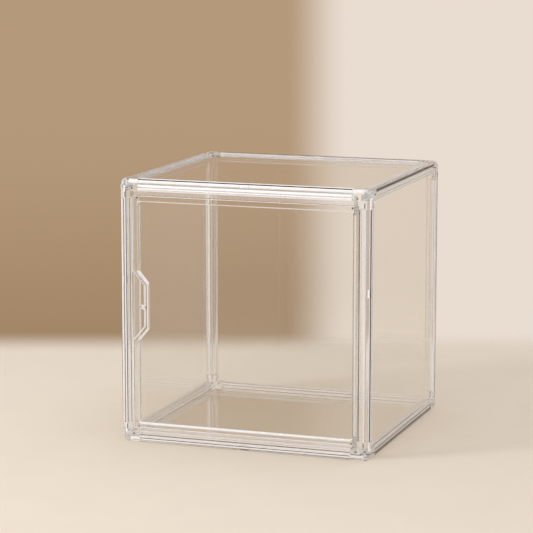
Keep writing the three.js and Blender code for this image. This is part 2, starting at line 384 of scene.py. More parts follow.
@dataclass(frozen=True)
class BoxSizes:
    """The box's sizes in metres, read from the frame's own solids."""

    width: float
    depth: float
    height: float
    bar: float
    bar_start: float
    reach: float
    peg_end: float
    lip_edge: float
    lip_front: float
    strike_end: float
    panel_inset: float
    panel_thickness: float
    panel_edge: float
    tab_depth: float

    @classmethod
    def from_frame(cls) -> "BoxSizes":
        """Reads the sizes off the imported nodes.

        Returns:
            The sizes, measured inwards from the box's outer faces.
        """
        low, high = CAD_BOX
        size = high - low
        rail_low, rail_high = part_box("rail_bottom_left")
        corner_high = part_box("corner_back_bottom_left")[1]
        front_rail_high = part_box("rail_bottom_front")[1]
        post_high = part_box("post_front_left")[1]
        side_low, side_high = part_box("panel_left")
        door_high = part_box("door")[1]
        bar_start = rail_low.y - low.y
        return cls(
            width=size.x, depth=size.y, height=size.z, bar=rail_high.x - low.x, bar_start=bar_start,
            reach=bar_start - JOINT_GAP, peg_end=corner_high.x - low.x,
            lip_edge=front_rail_high.z - low.z, lip_front=door_high.y - low.y + STOP_GAP,
            strike_end=post_high.x - low.x, panel_inset=side_low.x - low.x,
            panel_thickness=side_high.x - side_low.x, panel_edge=side_low.z - low.z,
            tab_depth=(side_low.z - low.z) - (side_low.y - low.y))

    @property
    def slot_near(self) -> float:
        """The outer wall of a slot."""
        return self.panel_inset - SLOT_CLEARANCE

    @property
    def slot_far(self) -> float:
        """The inner wall of a slot."""
        return self.panel_inset + self.panel_thickness + SLOT_CLEARANCE

    @property
    def slot_floor(self) -> float:
        """The floor of a slot."""
        return self.bar - SLOT_DEPTH


def rounded_outline(corners: Sequence[tuple[float, float, float]], segments: int = 4) -> Outline:
    """Rounds each corner of a closed outline by an arc.

    Args:
        corners: points with the arc's radius at each.
        segments: steps of each arc.

    Returns:
        The outline's points.
    """
    points: Outline = []
    count = len(corners)
    for index, (a, b, radius) in enumerate(corners):
        if radius <= 0:
            points.append((a, b))
            continue
        corner = Vector((a, b))
        before = (Vector(corners[index - 1][:2]) - corner).normalized()
        after = (Vector(corners[(index + 1) % count][:2]) - corner).normalized()
        half = before.angle(after) / 2
        centre = corner + (before + after).normalized() * (radius / math.sin(half))
        start = corner + before * (radius / math.tan(half)) - centre
        end = corner + after * (radius / math.tan(half)) - centre
        turn = start.angle_signed(end)
        for step in range(segments + 1):
            spoke = start.copy()
            spoke.rotate(Matrix.Rotation(-turn * step / segments, 2))
            points.append(tuple(centre + spoke))
    return points


def circle(centre: Point, radius: float, sides: int) -> Outline:
    """Returns points on a circle about a centre."""
    angles = [2 * math.pi * step / sides for step in range(sides)]
    return [(centre[0] + radius * math.cos(a), centre[1] + radius * math.sin(a)) for a in angles]


class Workshop:
    """Makes, joins, rounds and places solids, and keeps the finishes that they share."""

    def __init__(self) -> None:
        """Mixes the shared finishes."""
        self.joint = PressedJoint().material()
        # The edge finish is a painted highlight where it is not a sawn edge, the deep finish is painted
        # shade, and the finish with the faintest veil is painted shade on the pale bars.
        self.edge = EDGE.material()
        self.deep = PAINTED_SHADE.material()
        self.faint_veil_thin_and_shaded = WATER_CLEAR.material()

    def from_bmesh(self, name: str, shape: bmesh.types.BMesh) -> bpy.types.Object:
        """Turns a bmesh into an object and frees it.

        Args:
            name: the object's name.
            shape: the bmesh.

        Returns:
            The object, with its faces pointing outwards.
        """
        bmesh.ops.recalc_face_normals(shape, faces=shape.faces)
        mesh = bpy.data.meshes.new(name)
        shape.to_mesh(mesh)
        shape.free()
        return add_object(name, mesh)

    def prism(self, outline: Sequence[Point], low: float, high: float, axes: str = "xyz",
              far: Sequence[Point] | None = None) -> bpy.types.Object:
        """Extrudes an outline between two levels.

        Args:
            outline: points in the plane of the first two axes.
            low: first level on the third axis.
            high: second level on the third axis.
            axes: which axes of the box the outline's two directions and the depth follow.
            far: the outline at the second level, where the sides slope.

        Returns:
            The prism.
        """
        shape = bmesh.new()
        order = ["xyz".index(letter) for letter in axes]
        rings = []
        for level, loop in ((low, outline), (high, far or outline)):
            ring = []
            for a, b in loop:
                spot = [0.0, 0.0, 0.0]
                for axis, value in zip(order, (a, b, level)):
                    spot[axis] = value
                ring.append(shape.verts.new(spot))
            rings.append(ring)
        shape.faces.new(rings[0])
        shape.faces.new(rings[1])
        for index in range(len(outline)):
            shape.faces.new((rings[0][index - 1], rings[0][index], rings[1][index], rings[1][index - 1]))
        return self.from_bmesh("prism", shape)

    def block(self, low: Point, high: Point) -> bpy.types.Object:
        """Returns a block between two corners."""
        outline = [(low[0], low[1]), (high[0], low[1]), (high[0], high[1]), (low[0], high[1])]
        return self.prism(outline, low[2], high[2])

    def rod(self, radius: float, start: Point, length: float, axis: int, sides: int,
            tip: float = 0.0) -> bpy.types.Object:
        """Makes a round rod along one axis, with an optional rounded tip.

        Args:
            radius: the rod's radius.
            start: the centre of its first end.
            length: its length.
            axis: 0, 1 or 2.
            sides: facets round it.
            tip: fillet radius at the far end.

        Returns:
            The rod.
        """
        shape = bmesh.new()
        profile = [(radius, 0.0), (radius, length - tip)]
        for step in range(1, TIP_STEPS + 1 if tip else 1):
            angle = math.pi / 2 * step / TIP_STEPS
            profile.append((radius - tip + tip * math.cos(angle), length - tip + tip * math.sin(angle)))
        across = [(axis + 1) % 3, (axis + 2) % 3]
        rings = []
        for ring_radius, along in profile:
            ring = []
            for a, b in circle((start[across[0]], start[across[1]]), ring_radius, sides):
                spot = [0.0, 0.0, 0.0]
                spot[across[0]], spot[across[1]], spot[axis] = a, b, start[axis] + along
                ring.append(shape.verts.new(spot))
            rings.append(ring)
        for one, other in zip(rings, rings[1:]):
            for index in range(sides):
                shape.faces.new((one[index - 1], one[index], other[index], other[index - 1]))
        shape.faces.new(rings[0])
        shape.faces.new(rings[-1])
        return self.from_bmesh("rod", shape)

    def ball(self, radius: float, centre: Point, around: int = 96, upward: int = 64) -> bpy.types.Object:
        """Makes a ball about a centre.

        Args:
            radius: the ball's radius.
            centre: its centre.
            around: facets round its equator.
            upward: facets from pole to pole.

        Returns:
            The ball.
        """
        shape = bmesh.new()
        bmesh.ops.create_uvsphere(shape, u_segments=around, v_segments=upward, radius=radius)
        bmesh.ops.translate(shape, verts=shape.verts, vec=Vector(centre))
        return self.from_bmesh("ball", shape)

    def settle(self, piece: bpy.types.Object) -> bpy.types.Object:
        """Replaces a piece's mesh by its evaluated one and removes its modifiers.

        Args:
            piece: the piece, with live modifiers.

        Returns:
            The same piece, as a plain mesh.
        """
        bpy.context.view_layer.update()
        graph = bpy.context.evaluated_depsgraph_get()
        mesh = bpy.data.meshes.new_from_object(piece.evaluated_get(graph))
        piece.modifiers.clear()
        piece.data = mesh
        return piece

    def join(self, base: bpy.types.Object, steps: Iterable[Step]) -> bpy.types.Object:
        """Joins tools to a solid or cuts them out of it, one after another.

        Args:
            base: the solid that stays.
            steps: how each tool meets it; the tools are used up.

        Returns:
            The base, with its new mesh.
        """
        tools = []
        for joining, tool in steps:
            change = base.modifiers.new("join", "BOOLEAN")
            change.operation = joining.value
            change.solver = "EXACT"
            change.object = tool
            tools.append(tool)
        self.settle(base)
        for tool in tools:
            bpy.data.objects.remove(tool)
        return base

    def soften(self, piece: bpy.types.Object, radius: float, segments: int = 3,
               from_degrees: float = 40, level_degrees: float = 0.5) -> bpy.types.Object:
        """Fillets the sharp edges of a solid.

        Args:
            piece: the solid.
            radius: fillet radius.
            segments: steps of the fillet.
            from_degrees: edges that turn by more than this are filleted.
            level_degrees: faces that turn by less than this become one face first.

        Returns:
            The same piece.
        """
        shape = bmesh.new()
        shape.from_mesh(piece.data)
        bmesh.ops.remove_doubles(shape, verts=shape.verts, dist=SAME_POINT)
        bmesh.ops.dissolve_limit(shape, angle_limit=math.radians(level_degrees), verts=shape.verts,
                                 edges=shape.edges)
        shape.to_mesh(piece.data)
        shape.free()
        fillet = piece.modifiers.new("fillet", "BEVEL")
        fillet.limit_method = "ANGLE"
        fillet.angle_limit = math.radians(from_degrees)
        fillet.width = radius
        fillet.segments = segments
        return self.settle(piece)

    def mark(self, piece: bpy.types.Object, looks: Callable[[Vector, Vector], Face]) -> bpy.types.Object:
        """Marks what each face of a piece looks like.

        Args:
            piece: the piece.
            looks: tells a face's look from its centre and its normal.

        Returns:
            The same piece.
        """
        for face in piece.data.polygons:
            face.material_index = looks(face.center, face.normal).value
        return piece

    def polish(self, piece: bpy.types.Object, sharp_degrees: float = 50) -> bpy.types.Object:
        """Shades a piece smooth, keeps its flat faces flat and its sharp edges sharp.

        Args:
            piece: the piece.
            sharp_degrees: edges that turn by more than this stay sharp.

        Returns:
            The same piece.
        """
        piece.data.shade_smooth()
        piece.data.set_sharp_from_angle(angle=math.radians(sharp_degrees))
        weigh = piece.modifiers.new("weigh", "WEIGHTED_NORMAL")
        weigh.keep_sharp = True
        return self.settle(piece)

    def place(self, piece: bpy.types.Object, origin: Vector, axes: Sequence[Vector]) -> bpy.types.Object:
        """Moves a solid made along three inward axes to its vertex of the box.

        Args:
            piece: the solid.
            origin: the vertex.
            axes: the directions of the solid's own axes in the box.

        Returns:
            The same piece, with its place in its mesh.
        """
        turn = Matrix([[axes[column][row] for column in range(3)] for row in range(3)])
        piece.data.transform(Matrix.Translation(origin) @ turn.to_4x4())
        if turn.determinant() < 0:
            piece.data.flip_normals()
        return piece

    def dress(self, piece: bpy.types.Object, node: str, body: str, slot: str,
              material: bpy.types.Material) -> None:
        """Finishes a piece and lets it stand for its node of the frame.

        Args:
            piece: the finished piece.
            node: the node that it replaces.
            body: the body that it rides on.
            slot: the record's material slot; not used.
            material: its material.
        """
        piece.name = f"clear_{node}"
        piece.data.name = piece.name
        marks = [face.material_index for face in piece.data.polygons]
        # The shared finishes after the piece's own: pressed joints, white edges with their painted
        # highlight, painted shade, and the faintest veil.
        finishes = (material, self.joint, self.edge, self.deep, self.faint_veil_thin_and_shaded)
        piece.data.materials.clear()
        for finish in finishes[:max(marks) + 1]:
            piece.data.materials.append(finish)
        piece.data.polygons.foreach_set("material_index", marks)
        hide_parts(node)
        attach(piece, body)
        LOG.info("%s: %d faces on %s", piece.name, len(piece.data.polygons), body)


@dataclass(frozen=True)
class Vertex:
    """An outer vertex of the box, and the inward direction of each axis there."""

    at: Vector
    x: Vector
    y: Vector
    z: Vector

    @classmethod
    def of(cls, side: Side, end: End, level: Level) -> "Vertex":
        """Finds a vertex of the box.

        Args:
            side: its side.
            end: its end.
            level: its level.

        Returns:
            The vertex.
        """
        is_low = (side is Side.LEFT, end is End.FRONT, level is Level.BOTTOM)
        low, high = CAD_BOX
        at = Vector([low[axis] if lowest else high[axis] for axis, lowest in enumerate(is_low)])
        inward = [Vector((0, 0, 0)) for axis in is_low]
        for axis, lowest in enumerate(is_low):
            inward[axis][axis] = 1 if lowest else -1
        return cls(at, *inward)

    def axes(self, letters: str) -> list[Vector]:
        """Returns the inward directions in the order of some letters, such as "zyx"."""
        return [getattr(self, letter) for letter in letters]


@dataclass
class EdgeBars:
    """The ribbed bars along the box's edges."""

    sizes: BoxSizes
    shop: Workshop
    material: bpy.types.Material
    painted_highlight_material: bpy.types.Material
    tolerance: float = 0.05 * MM
    # Parts of the normal beyond which the outer arc and the posts' chamfers get painted shade.
    painted_shade_arc_from: float = 0.72
    painted_shade_chamfer_from: float = 0.8

    def section(self, is_front: bool) -> Outline:
        """Draws a bar's filleted section.

        Args:
            is_front: whether the bar carries the door's lip.

        Returns:
            The outline, with its outer corner at (0, 0) and both axes running inwards.
        """
        s = self.sizes
        grooves = []
        for start, width, depth in ((EDGE_RADIUS + GROOVE_LAND, GROOVE_WIDTH, GROOVE_DEPTH),
                                    (RIB_START, RIB_WIDTH, RIB_DEPTH)):
            grooves += [(start, 0, FILLET), (start + width / 4, depth, FILLET),
                        (start + width * 3 / 4, depth, FILLET), (start + width, 0, FILLET)]
        slot = [(s.bar, s.slot_near, MOUTH_FILLET), (s.slot_floor, s.slot_near, FILLET),
                (s.slot_floor, s.slot_far, FILLET), (s.bar, s.slot_far, MOUTH_FILLET)]
        lip = [(s.bar, s.lip_front, FILLET), (s.lip_edge, s.lip_front, 2 * FILLET),
               (s.lip_edge, s.bar, 2 * FILLET)]
        inner = lip if is_front else slot + [(s.bar, s.bar, FILLET)]
        outline = [
            (0, 0, EDGE_RADIUS), *grooves,
            (s.bar - INNER_CHAMFER, 0, FILLET), (s.bar, INNER_CHAMFER, FILLET), *inner,
            *[(b, a, radius) for a, b, radius in reversed(slot)],
            (INNER_CHAMFER, s.bar, FILLET), (0, s.bar - INNER_CHAMFER, FILLET),
            *[(b, a, radius) for a, b, radius in reversed(grooves)],
        ]
        return rounded_outline(outline, BAR_ARC_STEPS)

    def sweep_tree(self) -> bpy.types.NodeTree:
        """Builds the node tree that fills a section, its bore left open, and sweeps it along a bar.

        Returns:
            A tree with inputs for the bar's start, its length and its material.
        """
        tree = bpy.data.node_groups.new("bar_sweep", "GeometryNodeTree")
        for name, kind in (("Section", "Geometry"), ("Start", "Float"), ("Length", "Float"),
                           ("Material", "Material")):
            tree.interface.new_socket(name, in_out="INPUT", socket_type=f"NodeSocket{kind}")
        tree.interface.new_socket("Bar", in_out="OUTPUT", socket_type="NodeSocketGeometry")
        given = add_node(tree, "NodeGroupInput").outputs
        curve = add_node(tree, "GeometryNodeMeshToCurve", None, {"Mesh": given["Section"]})
        filled = add_node(tree, "GeometryNodeFillCurve", None, {"Curve": curve.outputs["Curve"]})
        offset = add_node(tree, "ShaderNodeCombineXYZ", None, {"Z": given["Start"]})
        foot = add_node(tree, "GeometryNodeTransform", None, {
            "Geometry": filled.outputs["Mesh"], "Translation": offset.outputs["Vector"]})
        direction = add_node(tree, "ShaderNodeCombineXYZ", None, {"Z": 1.0})
        swept = add_node(tree, "GeometryNodeExtrudeMesh", {"mode": "FACES"}, {
            "Mesh": foot.outputs["Geometry"], "Offset": direction.outputs["Vector"],
            "Offset Scale": given["Length"], "Individual": False})
        cap = add_node(tree, "GeometryNodeFlipFaces", None, {"Mesh": foot.outputs["Geometry"]})
        joined = add_node(tree, "GeometryNodeJoinGeometry")
        for part in (swept, cap):
            tree.links.new(part.outputs["Mesh"], joined.inputs["Geometry"])
        merged = add_node(tree, "GeometryNodeMergeByDistance", None, {
            "Geometry": joined.outputs["Geometry"], "Distance": SAME_POINT})
        real = add_node(tree, "GeometryNodeRealizeInstances", None, {"Geometry": merged.outputs["Geometry"]})
        coloured = add_node(tree, "GeometryNodeSetMaterial", None, {
            "Geometry": real.outputs["Geometry"], "Material": given["Material"]})
        add_node(tree, "NodeGroupOutput", None, {"Bar": coloured.outputs["Geometry"]})
        return tree

    def sweep(self, tree: bpy.types.NodeTree, is_front: bool, span: float) -> bpy.types.Object:
        """Sweeps one bar along the third axis.

        Args:
            tree: the sweep's node tree.
            is_front: whether the bar carries the door's lip.
            span: the box's size along the bar.

        Returns:
            The bar, in the octant of its vertex.
        """
        bore = circle((PEG_INSET, PEG_INSET), PEG_RADIUS + PEG_CLEARANCE, PEG_SIDES)
        verts: list[tuple[float, float, float]] = []
        edges: list[tuple[int, int]] = []
        for loop in (self.section(is_front), bore):
            first = len(verts)
            verts += [(a, b, 0.0) for a, b in loop]
            edges += [(first + i, first + (i + 1) % len(loop)) for i in range(len(loop))]
        mesh = bpy.data.meshes.new("section")
        mesh.from_pydata(verts, edges, [])
        bar = add_object("bar", mesh)
        sweep = bar.modifiers.new("sweep", "NODES")
        sweep.node_group = tree
        start = self.sizes.bar_start
        values = {"Start": start, "Length": span - 2 * start, "Material": self.material}
        for socket in tree.interface.items_tree:
            if socket.name in values:
                sweep[socket.identifier] = values[socket.name]
        return self.shop.settle(bar)

    def pocket(self, along: float, in_first_slot: bool) -> Step:
        """Makes the cut for a panel's snap tab.

        Args:
            along: the tab's place along the bar.
            in_first_slot: whether it is in the slot that opens along the first axis.

        Returns:
            The cut.
        """
        s = self.sizes
        half = TAB_WIDTH / 2 + TAB_CLEARANCE
        low = (s.slot_near, s.slot_floor - s.tab_depth, along - half)
        high = (s.slot_far, s.slot_floor + WELD, along + half)
        if in_first_slot:
            low, high = (low[1], low[0], low[2]), (high[1], high[0], high[2])
        return Joining.CUT, self.shop.block(low, high)

    def strike(self) -> Step:
        """Makes the strike on the left post's lip, behind the door's nub.

        Returns:
            The block to add.
        """
        s = self.sizes
        low = (s.lip_edge - WELD, s.lip_front, CATCH_CENTRE - CATCH_HEIGHT / 2)
        high = (s.strike_end, s.bar, CATCH_CENTRE + CATCH_HEIGHT / 2)
        return Joining.ADD, self.shop.soften(self.shop.block(low, high), 2 * FILLET)

    def build(self) -> None:
        """Makes every post and rail."""
        s = self.sizes
        tree = self.sweep_tree()
        for end in End:
            is_front = end is End.FRONT
            for side in Side:
                bar = self.sweep(tree, is_front, s.height)
                steps = [self.pocket(TAB_HEIGHT, False)]
                if not is_front:
                    steps.append(self.pocket(TAB_HEIGHT, True))
                elif side is Side.LEFT:
                    steps.append(self.strike())
                vertex = Vertex.of(side, end, Level.BOTTOM)
                self.finish(bar, steps, f"post_{end.value}_{side.value}", vertex, "xyz")
        for level in Level:
            for end in End:
                bar = self.sweep(tree, end is End.FRONT, s.width)
                steps = [self.pocket(s.width / 2, False)]
                vertex = Vertex.of(Side.LEFT, end, level)
                self.finish(bar, steps, f"rail_{level.value}_{end.value}", vertex, "zyx")
            for side in Side:
                bar = self.sweep(tree, False, s.depth)
                vertex = Vertex.of(side, End.FRONT, level)
                self.finish(bar, [], f"rail_{level.value}_{side.value}", vertex, "xzy")

    def looks(self, node: str, spot: Vector, normal: Vector) -> Face:
        """Tells how a face of a bar looks, from its place in the bar's section.

        Args:
            node: the bar's node.
            spot: the face's centre, measured inwards from the bar's vertex.
            normal: the face's normal.

        Returns:
            Its look: pressed in the slots and the bore, with a painted highlight in the bore of the rail
                above the door and on the pockets' ends, painted shade along part of the outer arc, a painted
                highlight or painted shade on narrow slants, and clear elsewhere.
        """
        s, close = self.sizes, self.tolerance
        is_painted_highlight_bar, is_shaded_bar, is_post = node == PAINTED_HIGHLIGHT_BAR, node in SHADED_BARS, node.startswith("post")
        # The bore of the rail above the door carries a painted highlight.
        if math.hypot(spot.x - PEG_INSET, spot.y - PEG_INSET) < PEG_RADIUS + PEG_CLEARANCE + close:
            return Face.EDGE if is_painted_highlight_bar else Face.JOINT
        # The pockets' end faces carry a painted highlight.
        for deep, across in ((spot.x, spot.y), (spot.y, spot.x)):
            is_sunk = s.slot_floor - s.tab_depth - close < deep < s.bar - close
            if is_sunk and s.slot_near - close < across < s.slot_far + close:
                return Face.EDGE if abs(normal.z) > MOSTLY else Face.JOINT
        inward = max(spot.x, spot.y)
        # Part of the outer arc carries a painted shade line, except on the pale bars.
        if inward < EDGE_RADIUS:
            is_painted_shade = abs(normal.x) > self.painted_shade_arc_from and not is_shaded_bar
            return Face.PAINTED_SHADE if is_painted_shade else Face.CLEAR
        if is_flat(normal):
            is_lip = "front" in node and spot.x > s.bar + close
            return Face.WATER_CLEAR if is_lip else Face.CLEAR
        is_outer = min(spot.x, spot.y) < GROOVE_DEPTH
        # The outer chamfers: painted shade on the posts, a painted highlight on the rail above the door.
        if is_outer and inward > RIB_START + RIB_WIDTH:
            turns_in = normal.x > self.painted_shade_chamfer_from or node != "post_front_left"
            if is_post and turns_in and not is_shaded_bar:
                return Face.PAINTED_SHADE
            return Face.EDGE if is_painted_highlight_bar else Face.CLEAR
        if is_post and is_outer and inward > RIB_START:
            return Face.CLEAR
        # Outer slants that turn one way carry painted shade, except on the pale bars; the rest carry a
        # painted highlight.
        slant = normal.x if spot.y < spot.x else normal.y
        if is_outer and slant > SLANTED:
            return Face.CLEAR if is_shaded_bar else Face.PAINTED_SHADE
        return Face.EDGE

    def finish(self, bar: bpy.types.Object, steps: list[Step], node: str, vertex: Vertex, axes: str) -> None:
        """Cuts a bar's pockets, polishes it and puts it in its place.

        Args:
            bar: the swept bar.
            steps: what is cut from it or added to it.
            node: the node that it replaces.
            vertex: the vertex that it starts from.
            axes: the box's axes that its own three axes follow.
        """
        if steps:
            self.shop.join(bar, steps)
        self.shop.mark(bar, partial(self.looks, node))
        self.shop.place(bar, vertex.at, vertex.axes(axes))
        self.shop.polish(bar)
        # The pale bars take the copy with the faintest veil, as painted shade, and the rail above the door
        # the whiter copy, as a painted highlight.
        finish = self.shop.faint_veil_thin_and_shaded if node in SHADED_BARS else self.material
        if node == PAINTED_HIGHLIGHT_BAR:
            finish = self.painted_highlight_material
        self.shop.dress(bar, node, "frame", "clear_moulding", finish)


@dataclass
class CornerConnectors:
    """The three-way connectors at the box's vertices."""

    sizes: BoxSizes
    shop: Workshop
    material: bpy.types.Material
    hinge: Vector
    fillet: float = 1.5 * FILLET
    tolerance: float = 0.03 * MM

    def body(self, is_front: bool) -> bpy.types.Object:
        """Makes a connector's three legs, with its round vertex and its pockets.

        Args:
            is_front: whether it carries the door's lip.

        Returns:
            The body, in the octant of its outer vertex.
        """
        s, shop = self.sizes, self.shop
        near, far, floor, out = s.slot_near, s.slot_far, s.slot_floor, s.reach + WELD
        body = shop.block((0, 0, 0), (s.reach, s.bar, s.bar))
        side = 2 * (s.reach + EDGE_RADIUS)
        rounded = shop.soften(shop.block((0, 0, 0), (side, side, side)), EDGE_RADIUS, VERTEX_STEPS)
        vertex = shop.block((-WELD, -WELD, -WELD), (BALL_INSET, BALL_INSET, BALL_INSET))
        shop.join(vertex, [(Joining.CUT, shop.ball(BALL_RADIUS, (BALL_INSET, BALL_INSET, BALL_INSET)))])
        shop.join(body, [
            (Joining.ADD, shop.block((0, 0, 0), (s.bar, s.reach, s.bar))),
            (Joining.ADD, shop.block((0, 0, 0), (s.bar, s.bar, s.reach))),
            (Joining.KEEP_COMMON, rounded),
            (Joining.CUT, vertex),
        ])
        steps = []
        if is_front:
            inner = (s.bar - WELD, s.lip_front, s.bar - WELD)
            steps.append((Joining.ADD, shop.block(inner, (s.reach, s.bar, s.lip_edge))))
            steps.append((Joining.ADD, shop.block(inner, (s.lip_edge, s.bar, s.reach))))
        else:
            steps.append((Joining.CUT, shop.block((floor, near, floor), (out, far, out))))
        steps.append((Joining.CUT, shop.block((near, floor, floor), (far, out, out))))
        steps.append((Joining.CUT, shop.block((floor, floor, near), (out, out, far))))
        shop.join(body, steps)
        return shop.soften(body, self.fillet)

    def pegs(self) -> list[Step]:
        """Makes the pegs that plug into the bars.

        Returns:
            One rod to add for each leg.
        """
        root = self.sizes.reach - WELD
        length = self.sizes.peg_end - root
        steps = []
        for axis in range(3):
            start = [PEG_INSET, PEG_INSET, PEG_INSET]
            start[axis] = root
            peg = self.shop.rod(PEG_RADIUS, start, length, axis, PEG_SIDES, 2 * FILLET)
            steps.append((Joining.ADD, peg))
        return steps

    def socket(self) -> Step:
        """Makes the cut for the pivot pin of the door.

        Returns:
            The cut, which starts just past the pin's end.
        """
        low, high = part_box("hinge_pin_bottom")
        radius = (high.x - low.x) / 2 + PIN_SOCKET_CLEARANCE
        start = (CAD_BOX[1].x - self.hinge.x, self.hinge.y - CAD_BOX[0].y, low.z - PIN_END_GAP)
        return Joining.CUT, self.shop.rod(radius, start, self.sizes.reach, 2, SOCKET_SIDES)

    def marks(self) -> list[Step]:
        """Makes the cuts for the ejector mark and the core slit on each outer face.

        Returns:
            A round cut and a slit for each axis.
        """
        cuts = []
        for axis in range(3):
            one, other = (axis + 1) % 3, (axis + 2) % 3
            start = [0.0, 0.0, 0.0]
            start[axis], start[one], start[other] = -WELD, *DOT_AT
            dot = self.shop.rod(DOT_RADIUS, start, WELD + MARK_DEPTH, axis, DOT_SIDES)
            low, high = [0.0, 0.0, 0.0], [0.0, 0.0, 0.0]
            low[axis], high[axis] = -WELD, MARK_DEPTH
            for along, centre, size in zip((one, other), DASH_AT, DASH_SIZE):
                low[along], high[along] = centre - size / 2, centre + size / 2
            cuts += [(Joining.CUT, dot), (Joining.CUT, self.shop.block(low, high))]
        return cuts

    def looks(self, spot: Vector, normal: Vector) -> Face:
        """Tells the marks, the pockets, the joints and the small fillets from the outer faces.

        Args:
            spot: the face's centre, measured inwards from the vertex.
            normal: the face's normal.

        Returns:
            Its look.
        """
        s, close = self.sizes, self.tolerance
        small, middle, large = sorted(spot)
        # The flat floors of the mould marks carry painted shade.
        if close < small < MARK_DEPTH + close and middle > EDGE_RADIUS:
            return Face.PAINTED_SHADE if is_flat(normal) else Face.CLEAR
        if large > s.reach - close:
            return Face.JOINT
        if s.slot_near - close < small < s.slot_far + close and middle > s.slot_floor - close:
            return Face.JOINT
        # Rounded faces away from the outer rounding carry a painted highlight; flat faces and the outer
        # rounding stay clear.
        return Face.CLEAR if middle < EDGE_RADIUS or is_flat(normal) else Face.EDGE

    def build(self) -> None:
        """Makes all the connectors."""
        for end in End:
            for level in Level:
                for side in Side:
                    is_front = end is End.FRONT
                    corner = self.body(is_front)
                    sockets = [self.socket()] if is_front and side is Side.RIGHT else []
                    self.shop.join(corner, self.pegs() + sockets + self.marks())
                    self.shop.mark(corner, self.looks)
                    vertex = Vertex.of(side, end, level)
                    self.shop.place(corner, vertex.at, vertex.axes("xyz"))
                    self.shop.polish(corner)
                    node = f"corner_{end.value}_{level.value}_{side.value}"
                    self.shop.dress(corner, node, "frame", "clear_moulding", self.material)


@dataclass
class SheetPanels:
    """The clear sheets in the bars' slots."""

    sizes: BoxSizes
    shop: Workshop
    material: bpy.types.Material
    corner: float = 2.0 * MM
    fillet: float = 0.2 * MM
    fillet_from_degrees: float = 60

    def sheet(self, span: float, rise: float, tab_at: float) -> bpy.types.Object:
        """Makes a sheet with a snap tab on two opposite edges.

        Args:
            span: the box's size between the edges with tabs.
            rise: the box's size along those edges.
            tab_at: the tabs' place along those edges.

        Returns:
            The sheet, in the octant of its vertex.
        """
        s, corner = self.sizes, self.corner
        edge, tip = s.panel_edge, s.panel_edge - s.tab_depth
        low, high = tab_at - TAB_WIDTH / 2, tab_at + TAB_WIDTH / 2
        outline = rounded_outline([
            (edge, edge, corner), (span - edge, edge, corner), (span - edge, low, 0),
            (span - tip, low, FILLET), (span - tip, high, FILLET), (span - edge, high, 0),
            (span - edge, rise - edge, corner), (edge, rise - edge, corner),
            (edge, high, 0), (tip, high, FILLET), (tip, low, FILLET), (edge, low, 0),
        ])
        slab = self.shop.prism(outline, s.panel_inset, s.panel_inset + s.panel_thickness)
        self.shop.soften(slab, self.fillet, from_degrees=self.fillet_from_degrees)
        shape = bmesh.new()
        shape.from_mesh(slab.data)
        for axis, level in ((0, s.bar), (0, span - s.bar), (1, s.bar), (1, rise - s.bar)):
            way = Vector((0, 0, 0))
            way[axis] = 1
            whole = shape.verts[:] + shape.edges[:] + shape.faces[:]
            bmesh.ops.bisect_plane(shape, geom=whole, plane_co=way * level, plane_no=way)
        shape.to_mesh(slab.data)
        shape.free()
        return self.shop.mark(slab, partial(self.looks, span, rise))

    def looks(self, span: float, rise: float, spot: Vector, normal: Vector) -> Face:
        """Tells the sawn edges and the faces held in the slots from the open faces.

        Args:
            span: the box's size along the sheet's first axis.
            rise: the box's size along its second axis.
            spot: the face's centre.
            normal: the face's normal.

        Returns:
            Its look.
        """
        bar = self.sizes.bar
        if abs(normal.z) < MOSTLY:
            return Face.EDGE
        is_open = bar < spot.x < span - bar and bar < spot.y < rise - bar
        return Face.CLEAR if is_open else Face.JOINT

    def build(self) -> None:
        """Makes every sheet."""
        s = self.sizes
        front_left = Vertex.of(Side.LEFT, End.FRONT, Level.BOTTOM)
        plans = {
            "left": (s.depth, s.height, TAB_HEIGHT, front_left, "yzx"),
            "right": (s.depth, s.height, TAB_HEIGHT, Vertex.of(Side.RIGHT, End.FRONT, Level.BOTTOM), "yzx"),
            "bottom": (s.depth, s.width, s.width / 2, front_left, "yxz"),
            "top": (s.depth, s.width, s.width / 2, Vertex.of(Side.LEFT, End.FRONT, Level.TOP), "yxz"),
            "back": (s.width, s.height, TAB_HEIGHT, Vertex.of(Side.LEFT, End.BACK, Level.BOTTOM), "xzy"),
        }
        for name, (span, rise, tab_at, vertex, axes) in plans.items():
            sheet = self.sheet(span, rise, tab_at)
            self.shop.place(sheet, vertex.at, vertex.axes(axes))
            self.shop.polish(sheet)
            self.shop.dress(sheet, f"panel_{name}", "frame", "clear_sheet", self.material)


